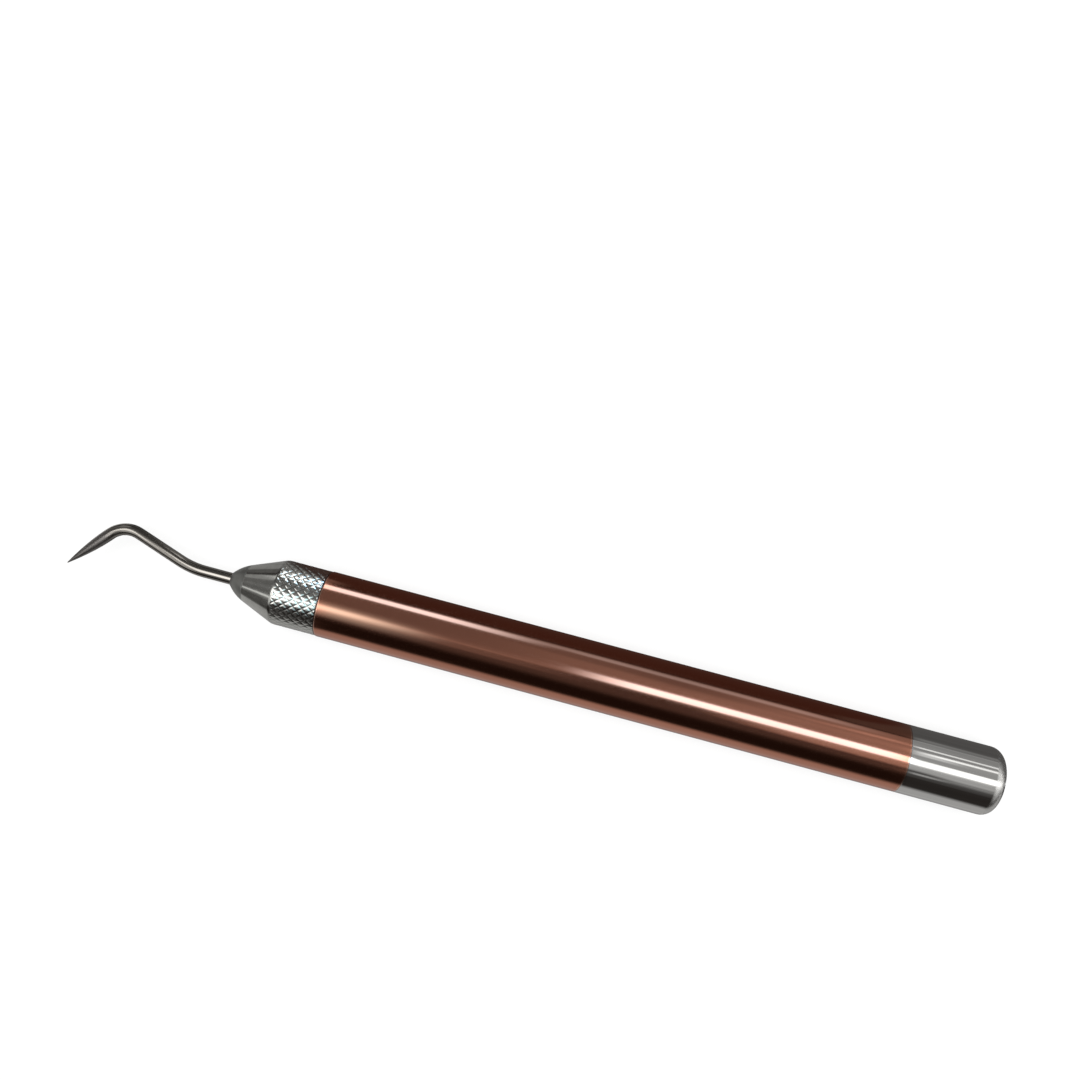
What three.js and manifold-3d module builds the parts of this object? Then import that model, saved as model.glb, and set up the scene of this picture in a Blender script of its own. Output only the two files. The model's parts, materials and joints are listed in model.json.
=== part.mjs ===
// Vinyl weeding tool: a bent steel pick held by a slit collet in the knurled nose of an anodised
// aluminium barrel, with a screw cap at the tail.
// Lengths are in millimetres. The tool lies along X on the plane z = 0, its point towards -X, and its
// hook bends in one level plane. The origin is under the middle of the tool's whole length.
// "ahead" counts from the barrel's front face towards the point, "behind" from its rear face to the tail.

import * as THREE from 'three';
import { mergeVertices } from 'three/addons/utils/BufferGeometryUtils.js';
import Module from 'manifold-3d';

const wasm = await Module();
wasm.setup();

// Barrel: a plain drawn tube
const barrelDiameter = 11;
const barrelWall = 1;
const barrelLength = 96.3;

// Chuck nut: the knurled nose, which tapers and rounds off to the pick
const nutDiameter = 10.85;
const nutLength = 16.2;
const knurlLength = 7.65;
const knurlStarts = 28;
const knurlAxialPitch = 1.56;
const knurlDepth = 0.2;
const noseTaperAngle = THREE.MathUtils.degToRad(21.8);
const noseShoulderRadius = 8;
const noseDomeRadius = 8;
const noseRimRadius = 1.15;
const noseHoleLength = 2;

// Chuck body: the insert in the barrel's front end, with the threaded stub for the nut
const chuckBodyDepth = 12;
const chuckBodyRecess = 0.2;
const stubLength = 5.6;
const chuckThread = { crestRadius: 3.9, depth: 0.45, pitch: 1 };
const nutThreadLength = 6;

// Collet: four jaws closed by the nut's inner cone
const colletTailRadius = 2.2;
const colletTailDepth = 6;
const colletLength = 13.2;
const colletShoulderLength = 1.3;
const colletShoulderRadius = 3.25;
const colletSlitWidth = 0.4;
const colletSlitDepth = 13.2;
const jawTaperAngle = THREE.MathUtils.degToRad(16);

// Pick: round wire, bent twice, ground to a point
const wireDiameter = 2;
const shankDepth = 9;
const firstBendAhead = 6.85;
const firstBendAngle = THREE.MathUtils.degToRad(18.2);
const firstBendRadius = 14.5;
const crestBendRun = 13.5;
const crestBendAngle = THREE.MathUtils.degToRad(66);
const crestBendRadius = 4.5;
const pointRun = 11.75;
const pointTaperLength = 8.2;
const pointRoundness = 2.1;
const pointRadius = 0.06;

// Tail cap and its seal
const capLength = 15.6;
const capEdgeRadius = 2.1;
const capThread = { crestRadius: 3.6, depth: 0.45, pitch: 1 };
const sealLandLength = 3;
const sealGrooveStart = 0.9;
const sealWireDiameter = 1;
const sealGrooveDepth = 1.05;
const spigotLength = 10.6;
const bushLength = 8;

// Fits between pieces
const pressGap = 0.04;
const seamGap = 0.08;
const slidingGap = 0.06;
const looseGap = 0.12;
const seatGap = 0.15;
const threadRelief = 0.9;
const edgeBreak = 0.15;

// Fineness of round surfaces
const sides = 60;
const threadSides = 24;
const wireSides = 16;
const arcSteps = 5;
const pointSteps = 6;

const barrelRadius = barrelDiameter / 2;
const boreRadius = barrelRadius - barrelWall;
const wireRadius = wireDiameter / 2;
const pickReach = pickPath().at(-1).forward;
const toolLength = pickReach + nutLength + barrelLength + capLength;
const frontFace = pickReach + nutLength - toolLength / 2;
const rearFace = frontFace + barrelLength;
const ahead = (distance) => frontFace - distance;
const behind = (distance) => rearFace + distance;

// A closed BufferGeometry as a solid that can be cut and joined.
function solid(geometry) {
  const bare = geometry.index ? geometry.toNonIndexed() : geometry;
  bare.deleteAttribute('normal');
  bare.deleteAttribute('uv');
  const merged = mergeVertices(bare, 1e-5);
  return new wasm.Manifold(new wasm.Mesh({
    numProp: 3,
    vertProperties: merged.getAttribute('position').array,
    triVerts: new Uint32Array(merged.index.array),
  }));
}

// A named mesh of a solid.
function piece(name, body, material) {
  const { vertProperties, triVerts } = body.getMesh();
  const geometry = new THREE.BufferGeometry();
  geometry.setAttribute('position', new THREE.BufferAttribute(vertProperties, 3));
  geometry.setIndex(new THREE.BufferAttribute(triVerts, 1));
  geometry.computeVertexNormals();
  const mesh = new THREE.Mesh(geometry, material);
  mesh.name = name;
  return mesh;
}

// A solid turned about X from half an outline of [x, radius] points, which runs towards +X outside and
// back inside. One flat facet faces straight down.
function turned(outline, segments = sides) {
  const points = outline.map(([x, radius]) => new THREE.Vector2(radius, x));
  if (outline[0][1] > 0) points.push(points[0].clone());
  return solid(new THREE.LatheGeometry(points, segments, Math.PI / segments).rotateZ(-Math.PI / 2));
}

// A plain round bar about X.
function bar(start, end, radius, segments = sides) {
  return turned([[start, 0], [start, radius], [end, radius], [end, 0]], segments);
}

// Points of a quarter circle that rounds the edge between a bar's side and its end face.
function roundedEdge(end, barRadius, edgeRadius) {
  return Array.from({ length: arcSteps + 1 }, (_, i) => {
    const turn = (i / arcSteps) * (Math.PI / 2);
    return [
      end - edgeRadius * (1 - Math.sin(turn)),
      barRadius - edgeRadius * (1 - Math.cos(turn)),
    ];
  });
}

// A point on a circle about X.
function around(x, radius, angle) {
  return [x, radius * Math.cos(angle), radius * Math.sin(angle)];
}

// A closed solid of numbered points and the triangles between them.
function faceted(vertices, faces) {
  const geometry = new THREE.BufferGeometry();
  geometry.setAttribute('position', new THREE.Float32BufferAttribute(vertices.flat(), 3));
  geometry.setIndex(faces.flat());
  return solid(geometry);
}

// A bar about X covered in diamond knurling. Where two grooves cross there is a low point, and between
// them a peak. Low points and peaks alternate round each ring and from ring to ring, and each
// four-cornered patch is folded between its two low points, along the groove.
function knurledBar(start, end, peakRadius) {
  const step = knurlAxialPitch / 2;
  const columns = 2 * knurlStarts;
  const ringCount = Math.ceil((end - start) / step) + 1;
  const vertices = [];
  const faces = [];
  for (let ring = 0; ring < ringCount; ring++) {
    for (let i = 0; i < columns; i++) {
      const radius = (ring + i) % 2 ? peakRadius : peakRadius - knurlDepth;
      vertices.push(around(start + ring * step, radius, (i / columns) * 2 * Math.PI));
    }
  }
  const startCentre = vertices.push([start, 0, 0]) - 1;
  const endCentre = vertices.push([start + (ringCount - 1) * step, 0, 0]) - 1;
  const at = (ring, i) => ring * columns + (i % columns);
  for (let i = 0; i < columns; i++) {
    faces.push([startCentre, at(0, i + 1), at(0, i)]);
    faces.push([endCentre, at(ringCount - 1, i), at(ringCount - 1, i + 1)]);
    for (let ring = 0; ring < ringCount - 1; ring++) {
      const [a, b, c, d] = [at(ring, i), at(ring, i + 1), at(ring + 1, i + 1), at(ring + 1, i)];
      if ((ring + i) % 2) faces.push([a, b, d], [b, c, d]);
      else faces.push([a, b, c], [a, c, d]);
    }
  }
  return faceted(vertices, faces);
}

// A bar about X with a right-hand V thread, longer than start to end so that it can be cut to length.
// Rows of points follow the helix: even rows lie in the root and odd rows on the crest.
function threadedBar({ crestRadius, depth, pitch }, start, end, gap = 0) {
  const first = 2 * Math.floor(start / pitch) - 4;
  const last = 2 * Math.ceil(end / pitch) + 4;
  const vertices = [];
  const faces = [];
  const rowRadius = (row) => crestRadius + gap - (row % 2 ? 0 : depth);
  for (let row = first; row <= last; row++) {
    for (let i = 0; i < threadSides; i++) {
      const share = i / threadSides;
      vertices.push(around(pitch * (row / 2 + share), rowRadius(row), share * 2 * Math.PI));
    }
  }
  // One turn on, a row continues as the row two further along.
  const at = (row, i) => (i < threadSides
    ? (row - first) * threadSides + i
    : (row + 2 - first) * threadSides);
  for (let row = first; row < last - 2; row++) {
    for (let i = 0; i < threadSides; i++) {
      faces.push([at(row, i), at(row, i + 1), at(row + 1, i + 1)]);
      faces.push([at(row, i), at(row + 1, i + 1), at(row + 1, i)]);
    }
  }
  const rimOf = (row) => [
    ...Array.from({ length: threadSides }, (_, i) => at(row, i)),
    at(row + 2, 0),
    at(row + 1, 0),
  ];
  const startCentre = vertices.push([(pitch * first) / 2, 0, 0]) - 1;
  const endCentre = vertices.push([(pitch * last) / 2, 0, 0]) - 1;
  rimOf(first).forEach((corner, i, rim) => {
    faces.push([startCentre, rim[(i + 1) % rim.length], corner]);
  });
  rimOf(last - 2).forEach((corner, i, rim) => {
    faces.push([endCentre, corner, rim[(i + 1) % rim.length]]);
  });
  return faceted(vertices, faces);
}

// The hook's centre line from the nose to the point, as distances forward of the nose and sideways of
// the axis, with the heading at each: straight, a slight bend one way, straight, the crest bend back.
function pickPath() {
  const path = [{ forward: 0, side: 0, heading: 0 }];
  const go = (run) => {
    const { forward, side, heading } = path.at(-1);
    path.push({
      forward: forward + run * Math.cos(heading),
      side: side + run * Math.sin(heading),
      heading,
    });
  };
  const bend = (angle, radius, steps) => {
    const step = angle / steps;
    for (let i = 0; i < steps; i++) {
      path.at(-1).heading += step / 2;
      go(2 * radius * Math.sin(Math.abs(step) / 2));
      path.at(-1).heading += step / 2;
    }
  };
  const firstTangent = firstBendRadius * Math.tan(firstBendAngle / 2);
  const crestTangent = crestBendRadius * Math.tan(crestBendAngle / 2);
  go(firstBendAhead - firstTangent);
  bend(firstBendAngle, firstBendRadius, 5);
  go(crestBendRun - firstTangent - crestTangent);
  bend(-crestBendAngle, crestBendRadius, 12);
  go(pointRun - crestTangent - pointTaperLength);
  for (let i = 0; i < pointSteps; i++) go(pointTaperLength / pointSteps);
  return path;
}

// The wire, turned straight with its ground point and its broken rear edge, then bent: each ring of
// its points moves to its own station on the path, square to the path there.
function makePick() {
  const shankEnd = -nutLength - shankDepth;
  const stations = [
    { forward: shankEnd, side: 0, heading: 0, radius: 0 },
    { forward: shankEnd, side: 0, heading: 0, radius: wireRadius - edgeBreak },
    { forward: shankEnd + edgeBreak, side: 0, heading: 0, radius: wireRadius },
    ...pickPath().map((station) => ({ ...station, radius: wireRadius })),
  ];
  for (let i = 0; i <= pointSteps; i++) {
    const slimming = (1 - i / pointSteps) ** pointRoundness;
    stations.at(-1 - i).radius = wireRadius - (wireRadius - pointRadius) * slimming;
  }
  stations.push({ ...stations.at(-1), radius: 0 });
  const outline = stations.map(({ radius }, i) => new THREE.Vector2(radius, i));
  const wire = new THREE.LatheGeometry(outline, wireSides, Math.PI / wireSides);
  const points = wire.getAttribute('position');
  for (let i = 0; i < points.count; i++) {
    const { forward, side, heading } = stations[Math.round(points.getY(i))];
    const across = points.getX(i);
    points.setXYZ(
      i,
      ahead(nutLength + forward) + across * Math.sin(heading),
      side + across * Math.cos(heading),
      points.getZ(i),
    );
  }
  return solid(wire);
}

// Points of an arc from one angle to another, as [x, radius] with x counted ahead.
function outlineArc(centre, radius, from, to) {
  return Array.from({ length: arcSteps + 1 }, (_, i) => {
    const angle = from + ((to - from) * i) / arcSteps;
    return [ahead(centre.x + radius * Math.cos(angle)), centre.y + radius * Math.sin(angle)];
  });
}

// The nose's outside from the rim back: a dome, the taper, and a rounded shoulder that leaves the
// knurling's crest. The dome's centre is such that it meets the taper smoothly and ends on the rim.
function noseOutline() {
  const along = new THREE.Vector2(Math.cos(noseTaperAngle), -Math.sin(noseTaperAngle));
  const outward = new THREE.Vector2(Math.sin(noseTaperAngle), Math.cos(noseTaperAngle));
  const corner = new THREE.Vector2(knurlLength, nutDiameter / 2);
  const rim = new THREE.Vector2(nutLength, noseRimRadius);
  const reach = rim.clone().sub(corner);
  const drop = -reach.dot(outward);
  const taperRun = reach.dot(along) - Math.sqrt(drop * (2 * noseDomeRadius - drop));
  const domeStart = corner.clone().addScaledVector(along, taperRun);
  const domeCentre = domeStart.clone().addScaledVector(outward, -noseDomeRadius);
  const shoulderTangent = noseShoulderRadius * Math.tan(noseTaperAngle / 2);
  const shoulderCentre = corner.clone().sub(
    new THREE.Vector2(shoulderTangent, noseShoulderRadius),
  );
  const upright = Math.PI / 2;
  return [
    ...outlineArc(domeCentre, noseDomeRadius, rim.clone().sub(domeCentre).angle(),
      upright - noseTaperAngle),
    ...outlineArc(shoulderCentre, noseShoulderRadius, upright - noseTaperAngle, upright),
  ];
}

// The inner cone that closes the jaws: its radius at a distance ahead, less a gap.
function jawConeRadius(distance, gap = 0) {
  const front = nutLength - noseHoleLength;
  return wireRadius + 4 * looseGap + (front - distance) * Math.tan(jawTaperAngle) - gap;
}

function makeChuckNut() {
  const crestRadius = nutDiameter / 2;
  const shoulder = noseOutline();
  // Behind the shoulder the blank stands clear of the knurling, whose own peaks are the surface there.
  const clearRadius = crestRadius + edgeBreak;
  const outside = turned([
    [ahead(nutLength), 0],
    ...shoulder,
    [shoulder.at(-1)[0] + edgeBreak, clearRadius],
    [ahead(seamGap + 2 * edgeBreak), clearRadius],
    [ahead(seamGap), crestRadius - edgeBreak],
    [ahead(seamGap), 0],
  ], 2 * knurlStarts);
  // The grooves run out on the shoulder and taper, where these have dropped to the grooves' depth.
  const knurlEnd = knurlLength + knurlDepth / Math.tan(noseTaperAngle) + knurlAxialPitch / 2;
  const knurled = knurledBar(ahead(knurlEnd), ahead(-knurlAxialPitch), crestRadius);
  const plainNose = bar(ahead(nutLength + 1), ahead(knurlEnd - edgeBreak), crestRadius);
  const coneStart = nutThreadLength + threadRelief;
  const rootRadius = chuckThread.crestRadius + looseGap;
  const cavity = turned([
    [ahead(nutLength + 1), 0],
    [ahead(nutLength + 1), wireRadius + slidingGap],
    [ahead(nutLength - noseHoleLength), wireRadius + slidingGap],
    [ahead(nutLength - noseHoleLength), jawConeRadius(nutLength - noseHoleLength)],
    [ahead(coneStart), jawConeRadius(coneStart)],
    [ahead(coneStart), rootRadius],
    [ahead(nutThreadLength), rootRadius],
    [ahead(nutThreadLength), 0],
  ], threadSides);
  const mouth = turned([
    [ahead(2 * chuckThread.depth), 0],
    [ahead(chuckThread.depth), rootRadius - chuckThread.depth],
    [ahead(0), rootRadius],
    [ahead(-1), rootRadius],
    [ahead(-1), 0],
  ], threadSides);
  const tap = threadedBar(chuckThread, ahead(nutThreadLength), ahead(0), looseGap)
    .intersect(bar(ahead(nutThreadLength + slidingGap), ahead(-1), rootRadius + looseGap, threadSides));
  return outside
    .intersect(knurled.add(plainNose))
    .subtract(cavity.add(tap).add(mouth));
}

function makeChuckBody() {
  const rootRadius = chuckThread.crestRadius - chuckThread.depth;
  const chamfer = chuckThread.depth;
  const colletBore = colletTailRadius + slidingGap;
  const colletFloor = colletTailDepth + seatGap;
  const outline = turned([
    [ahead(stubLength), colletBore],
    [ahead(stubLength), rootRadius],
    [ahead(stubLength - 2 * chamfer), rootRadius + 2 * chamfer],
    [ahead(threadRelief), rootRadius + 2 * chamfer],
    [ahead(threadRelief), rootRadius - slidingGap],
    [ahead(-chuckBodyRecess), rootRadius - slidingGap],
    [ahead(-chuckBodyRecess), boreRadius - pressGap],
    [ahead(-chuckBodyDepth), boreRadius - pressGap],
    [ahead(-chuckBodyDepth), wireRadius + 2 * looseGap],
    [ahead(-colletFloor), wireRadius + 2 * looseGap],
    [ahead(-colletFloor), colletBore],
  ]);
  const plainEnd = bar(ahead(threadRelief / 2), ahead(-chuckBodyDepth - 1), barrelRadius);
  const thread = threadedBar(chuckThread, ahead(stubLength), ahead(0));
  const cutThread = thread.intersect(bar(ahead(stubLength + 1), ahead(0), barrelRadius, threadSides));
  return outline.intersect(cutThread.add(plainEnd));
}

function makeCollet() {
  const shoulder = stubLength + seatGap;
  const jawStart = shoulder + colletShoulderLength;
  const body = turned([
    [ahead(colletLength), wireRadius + slidingGap],
    [ahead(colletLength), jawConeRadius(colletLength, seatGap)],
    [ahead(jawStart), Math.min(colletShoulderRadius, jawConeRadius(jawStart, seatGap))],
    [ahead(shoulder), colletShoulderRadius - edgeBreak],
    [ahead(shoulder), colletTailRadius],
    [ahead(-colletTailDepth), colletTailRadius],
    [ahead(-colletTailDepth), wireRadius + slidingGap],
  ], threadSides);
  const slitLength = colletSlitDepth + 1;
  const slitCentre = ahead(colletLength - colletSlitDepth + slitLength / 2);
  const slits = [0, 1].map((quarter) => solid(
    new THREE.BoxGeometry(slitLength, colletSlitWidth, 4 * colletShoulderRadius)
      .rotateX(Math.PI / 4 + quarter * (Math.PI / 2))
      .translate(slitCentre, 0, 0),
  ));
  return body.subtract(slits[0].add(slits[1]));
}

function makeBarrelTube() {
  return turned([
    [ahead(0), barrelRadius - edgeBreak],
    [ahead(-edgeBreak), barrelRadius],
    [behind(-edgeBreak), barrelRadius],
    [behind(0), barrelRadius - edgeBreak],
    [behind(0), boreRadius],
    [ahead(0), boreRadius],
  ]);
}

const bushRear = -sealLandLength - looseGap;
const bushFront = bushRear - bushLength;

function makeTailBush() {
  const rootRadius = capThread.crestRadius + looseGap;
  const blank = bar(behind(bushFront), behind(bushRear), boreRadius - pressGap);
  const leadIn = turned([
    [behind(bushRear - 2 * capThread.depth), 0],
    [behind(bushRear - capThread.depth), rootRadius - capThread.depth],
    [behind(bushRear), rootRadius],
    [behind(bushRear + 1), rootRadius],
    [behind(bushRear + 1), 0],
  ], threadSides);
  const tap = threadedBar(capThread, behind(bushFront - 1), behind(bushRear + 1), looseGap);
  return blank.subtract(tap.add(leadIn));
}

function makeTailCap() {
  const rootRadius = capThread.crestRadius - capThread.depth;
  const chamfer = capThread.depth;
  const landRadius = boreRadius - looseGap;
  const grooveRadius = boreRadius - sealGrooveDepth - looseGap;
  const grooveEnd = sealGrooveStart + sealWireDiameter + 2 * looseGap;
  const threadStart = sealLandLength + threadRelief / 2;
  const outline = turned([
    [behind(-spigotLength), 0],
    [behind(-spigotLength), rootRadius],
    [behind(-spigotLength + 2 * chamfer), rootRadius + 2 * chamfer],
    [behind(-threadStart), rootRadius + 2 * chamfer],
    [behind(-threadStart), rootRadius - slidingGap],
    [behind(-sealLandLength), rootRadius - slidingGap],
    [behind(-sealLandLength), landRadius],
    [behind(-grooveEnd), landRadius],
    [behind(-grooveEnd), grooveRadius],
    [behind(-sealGrooveStart), grooveRadius],
    [behind(-sealGrooveStart), landRadius],
    [behind(seamGap), landRadius],
    [behind(seamGap), barrelRadius - edgeBreak],
    [behind(seamGap + edgeBreak), barrelRadius],
    ...roundedEdge(behind(capLength), barrelRadius, capEdgeRadius),
    [behind(capLength), 0],
  ]);
  const thread = threadedBar(capThread, behind(-spigotLength), behind(-sealLandLength));
  const cutThread = thread.intersect(
    bar(behind(-spigotLength - 1), behind(-sealLandLength), barrelRadius, threadSides),
  );
  const plainEnd = bar(behind(-sealLandLength - threadRelief / 4), behind(capLength + 1), barrelDiameter);
  return outline.intersect(cutThread.add(plainEnd));
}

// The seal lies in the cap's groove, just clear of the groove's floor and of the barrel's bore.
function makeCapSeal() {
  const grooveRadius = boreRadius - sealGrooveDepth - looseGap;
  const ringRadius = (grooveRadius + boreRadius) / 2;
  const centre = behind(-sealGrooveStart - looseGap - sealWireDiameter / 2);
  return solid(
    new THREE.TorusGeometry(ringRadius, sealWireDiameter / 2, 10, threadSides)
      .rotateY(Math.PI / 2)
      .translate(centre, 0, 0),
  );
}

function metal(color, roughness) {
  return new THREE.MeshStandardMaterial({ color, roughness, metalness: 1 });
}

const copperAnodising = metal(0xa8674f, 0.16);
const turnedAluminium = metal(0xc9cbc8, 0.25);
const polishedSteel = metal(0xa9a49c, 0.2);
const springSteel = metal(0x8f8f8e, 0.35);
const brass = metal(0xc9a75c, 0.3);
const blackRubber = new THREE.MeshStandardMaterial({ color: 0x1a1a1a, roughness: 0.7, metalness: 0 });

const tool = new THREE.Group();
tool.position.z = barrelRadius * Math.cos(Math.PI / sides);
tool.add(
  piece('pick', makePick(), polishedSteel),
  piece('chuck_nut', makeChuckNut(), turnedAluminium),
  piece('collet', makeCollet(), springSteel),
  piece('chuck_body', makeChuckBody(), brass),
  piece('barrel_tube', makeBarrelTube(), copperAnodising),
  piece('tail_bush', makeTailBush(), brass),
  piece('tail_cap', makeTailCap(), turnedAluminium),
  piece('cap_seal', makeCapSeal(), blackRubber),
);

export default tool;
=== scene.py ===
import json

import bmesh
import bpy
import numpy as np
from mathutils import Matrix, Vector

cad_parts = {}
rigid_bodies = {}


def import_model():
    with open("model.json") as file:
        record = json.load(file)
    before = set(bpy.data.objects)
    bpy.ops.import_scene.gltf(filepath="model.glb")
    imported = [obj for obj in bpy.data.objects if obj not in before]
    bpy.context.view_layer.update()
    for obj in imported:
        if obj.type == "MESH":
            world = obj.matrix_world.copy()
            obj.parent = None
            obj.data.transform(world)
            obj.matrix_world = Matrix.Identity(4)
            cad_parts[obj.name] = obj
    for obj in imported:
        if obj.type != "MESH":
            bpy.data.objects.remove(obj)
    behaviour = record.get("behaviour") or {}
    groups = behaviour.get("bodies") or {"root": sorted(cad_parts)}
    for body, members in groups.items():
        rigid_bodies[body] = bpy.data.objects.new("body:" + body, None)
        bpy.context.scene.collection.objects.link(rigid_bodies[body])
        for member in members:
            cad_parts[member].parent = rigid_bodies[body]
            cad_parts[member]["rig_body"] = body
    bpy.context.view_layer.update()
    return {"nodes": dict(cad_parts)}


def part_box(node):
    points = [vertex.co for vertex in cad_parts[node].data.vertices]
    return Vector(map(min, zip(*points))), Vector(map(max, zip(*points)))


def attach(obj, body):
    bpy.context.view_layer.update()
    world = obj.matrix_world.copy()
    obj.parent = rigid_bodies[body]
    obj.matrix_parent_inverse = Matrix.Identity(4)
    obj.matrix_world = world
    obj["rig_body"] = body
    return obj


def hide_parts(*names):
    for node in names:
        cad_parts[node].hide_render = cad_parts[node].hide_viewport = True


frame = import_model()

bl_info = {
    "name": "Vinyl weeding tool",
    "version": (1, 0, 0),
    "blender": (4, 5, 0),
    "location": "3D View > Sidebar > Weeding tool",
    "description": "Smooth surfaces and metal finishes for a hooked weeding tool, on its CAD frame",
    "category": "Add Mesh",
}

# Shapes are worked out in millimetres about the tool's axis, which runs along X, and are put into the
# mesh in metres. "ahead" counts from the barrel's front face towards the point, "behind" from its rear
# face towards the tail.
BARREL_LOW, BARREL_HIGH = (np.array(corner) * 1000 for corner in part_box("barrel_tube"))
FRONT_FACE, REAR_FACE = BARREL_LOW[0], BARREL_HIGH[0]
AXIS_HEIGHT = (BARREL_LOW[2] + BARREL_HIGH[2]) / 2

# Fits between the pieces
SEAM_GAP = 0.05
SLIDING_GAP = 0.06
LOOSE_GAP = 0.12
PRESS_GAP = 0.04
SEAT_GAP = 0.15
THREAD_RELIEF = 0.9

# Nose: its places are ahead of the barrel's front face
NOSE_LENGTH = 15.95
SHOULDER_START, SHOULDER_RADIUS = 7.45, 2.5
TAPER_ANGLE = np.radians(21.8)
DOME_START, DOME_RADIUS = 13.3, 7.6
RIM_RADIUS = 1.15
CONE_REAR, CONE_FRONT = 6.9, 14.2
CONE_SLOPE = np.tan(np.radians(16))
NOSE_THREAD_LENGTH, NOSE_THREAD_RADIUS = 6, 3.9

# Front insert and collet
STUB_LENGTH = 5.6
INSERT_DEPTH, INSERT_RECESS = 12, 0.2
COLLET_LENGTH = 13.2
COLLET_TAIL_DEPTH, COLLET_TAIL_RADIUS = 6, 2.2
COLLET_SHOULDER_LENGTH, COLLET_SHOULDER_RADIUS = 1.3, 3.25
SLIT_WIDTH = 0.4

# Pick: how deep it sits in the barrel, where it bends and how long its legs are
SHANK_DEPTH = 9
FIRST_BEND_AHEAD, FIRST_BEND_ANGLE, FIRST_BEND_RADIUS = 23.05, np.radians(18.2), 14.5
CREST_RUN, CREST_ANGLE, CREST_RADIUS = 13.5, np.radians(66), 4.5
POINT_RUN = 11.75
POINT_CURVE = 1.9
POINT_RADIUS = 0.06

# Cap, seal and tail insert: their places are behind the barrel's rear face
CAP_LENGTH = 15.6
SPIGOT_LENGTH = 10.6
CAP_THREAD_RADIUS = 3.6
LAND_LENGTH = 3
SEAL_START, SEAL_DEPTH = 0.9, 1.05
SEAL_RADIUS = 0.5
BUSH_LENGTH = 8

# Fineness of surfaces
SIDES = 192
THREAD_SIDES = 96
SEAL_SIDES = 128
WIRE_SIDES = 48
ROWS_PER_PITCH = 12
SHARP_ABOVE = np.radians(32)


def ahead(distance):
    """X of a place ahead of the barrel's front face."""
    return FRONT_FACE - distance


def behind(distance):
    """X of a place behind the barrel's rear face."""
    return REAR_FACE + distance


def linear(code):
    """The linear colour of an sRGB hex value such as "A8674F"."""
    share = np.array([int(code[i:i + 2], 16) for i in (0, 2, 4)]) / 255
    return tuple(np.where(share <= 0.04045, share / 12.92, ((share + 0.055) / 1.055) ** 2.4))


def length(name, description, default_mm, low_mm=0.01, high_mm=200):
    """A length that the user may set, given here in millimetres and kept in metres."""
    return bpy.props.FloatProperty(
        name=name, description=description, default=default_mm / 1000,
        min=low_mm / 1000, max=high_mm / 1000, precision=5, unit="LENGTH")


def colour(name, description, code):
    """A colour that the user may set, given here as an sRGB hex value."""
    return bpy.props.FloatVectorProperty(
        name=name, description=description, default=linear(code),
        size=3, min=0, max=1, subtype="COLOR")


class WeederSizes(bpy.types.PropertyGroup):
    """Sizes that the user may change"""

    barrel_diameter: length("Barrel diameter", "Outside of the barrel tube", 11)
    barrel_wall: length("Barrel wall", "Thickness of the barrel tube", 1)
    nose_diameter: length("Nose diameter", "Over the knurling", 10.85)
    knurl_pitch: length("Knurl pitch", "From one groove to the next along the nose", 1.56)
    knurl_depth: length("Knurl depth", "From the peaks to the grooves", 0.055)
    knurl_starts: bpy.props.IntProperty(
        name="Knurl starts", description="Grooves of each hand", default=28, min=8, max=72)
    thread_pitch: length("Thread pitch", "Of the nose's and the cap's threads", 1)
    thread_depth: length("Thread depth", "From crest to root", 0.45)
    wire_diameter: length("Wire diameter", "Of the pick", 2)
    cap_rounding: length("Cap rounding", "Radius of the cap's rounded edge", 2.1)
    edge_rounding: length("Edge rounding", "Radius of turned edges", 0.15)
    point_length: length("Point length", "Of the ground point of the pick", 8.5)


class WeederFinishes(bpy.types.PropertyGroup):
    """Colours that the user may change"""

    copper: colour("Barrel", "Copper-brown anodising", "C4836A")
    nose: colour("Nose", "Turned aluminium of the nose", "C2C2BD")
    cap: colour("Cap", "Polished aluminium of the cap", "CFCECB")
    pick: colour("Pick", "Hardened steel wire", "8E8A84")
    collet: colour("Collet", "Spring steel", "BDBBB6")
    brass: colour("Inserts", "Turned brass", "D8B46A")
    rubber: colour("Seal", "Black rubber", "1B1B1C")
    floor: colour("Floor", "Pale matt floor", "F4F4F3")


def sizes():
    """The sizes in millimetres, by name."""
    group = bpy.context.scene.weeder_sizes
    names = [n for n in WeederSizes.__annotations__ if n != "knurl_starts"]
    return {**{n: getattr(group, n) * 1000 for n in names}, "knurl_starts": group.knurl_starts}


# Surfaces


def softened(corners, radii, steps=6, closed=False):
    """An outline through corners whose edges are rounded. An open outline keeps its two ends."""
    corners, radii = np.array(corners, float), np.array(radii, float)
    if not closed:
        inner = softened_corners(corners[:-2], corners[1:-1], corners[2:], radii[1:-1], steps)
        return np.concatenate([corners[:1], inner, corners[-1:]])
    return softened_corners(
        np.roll(corners, 1, 0), corners, np.roll(corners, -1, 0), radii, steps)


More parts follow.
